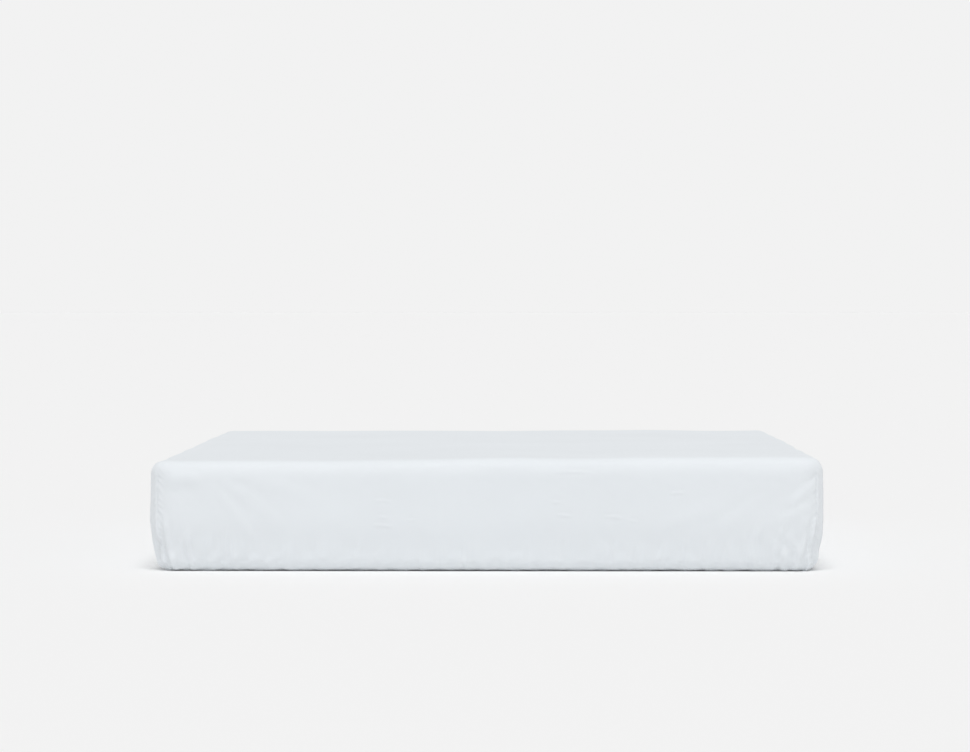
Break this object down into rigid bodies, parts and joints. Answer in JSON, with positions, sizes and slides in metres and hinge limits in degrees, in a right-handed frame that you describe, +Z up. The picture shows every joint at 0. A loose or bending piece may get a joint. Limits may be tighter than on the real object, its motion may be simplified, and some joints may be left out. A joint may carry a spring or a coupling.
{
  "type": "memory foam mattress",
  "caption": "Layered memory foam mattress with a zipped cover and a plain fitted sheet, for lying flat on a bed base.",
  "frame": {"origin": "middle of the underside, on the surface that the mattress rests on", "axes": "+Z up, +Y from the foot end to the head end, +X to the right seen from the foot end"},
  "size_m": [1.524, 2.032, 0.254],
  "materials": {
    "sheet_cotton": "plain cotton percale, slightly cool white, matt",
    "elastic_web": "woven elastic, matt",
    "cover_knit": "soft double knit, off-white, matt",
    "grip_cloth": "grey non-slip knit with small raised dots",
    "sock_knit": "thin cream knit, matt",
    "memory_foam": "pale blue open-cell foam, matt",
    "transition_foam": "white open-cell foam, matt",
    "support_foam": "grey open-cell foam, matt",
    "zip_tape": "woven polyester tape, matt",
    "label_weave": "blank woven label, matt",
    "zip_coil": "satin polyester monofilament",
    "zinc_alloy": "satin nickel-plated zinc alloy"
  },
  "bodies": {
    "root": {"memory_foam_layer": "memory_foam", "transition_foam_layer": "transition_foam", "support_foam_core": "support_foam", "fire_barrier_sock": "sock_knit", "fire_barrier_scrim": "sock_knit", "cover_top_panel": "cover_knit", "cover_side_band": "cover_knit", "cover_bottom_panel": "grip_cloth", "cover_care_label": "label_weave", "zip_tape_outer": "zip_tape", "zip_tape_inner": "zip_tape", "zip_coil_outer": "zip_coil", "zip_coil_inner": "zip_coil", "zip_start_stop": "zinc_alloy", "zip_end_stop": "zinc_alloy", "fitted_sheet": "sheet_cotton", "sheet_elastic": "elastic_web", "sheet_corner_seam_foot_left": "sheet_cotton", "sheet_corner_seam_foot_right": "sheet_cotton", "sheet_corner_seam_head_left": "sheet_cotton", "sheet_corner_seam_head_right": "sheet_cotton"},
    "zip_slider": {"zip_slider": "zinc_alloy"},
    "zip_pull_tab": {"zip_pull_tab": "zinc_alloy"}
  },
  "joints": [
    {"name": "zip_slide", "type": "slide", "parent": "root", "child": "zip_slider", "axis": [-1, 0, 0], "range_m": [0, 1.12]},
    {"name": "zip_pull_turn", "type": "hinge", "parent": "zip_slider", "child": "zip_pull_tab", "pos_m": [0.56, -0.902, 0.0029], "axis": [0, -1, 0], "range_deg": [0, 170]}
  ]
}
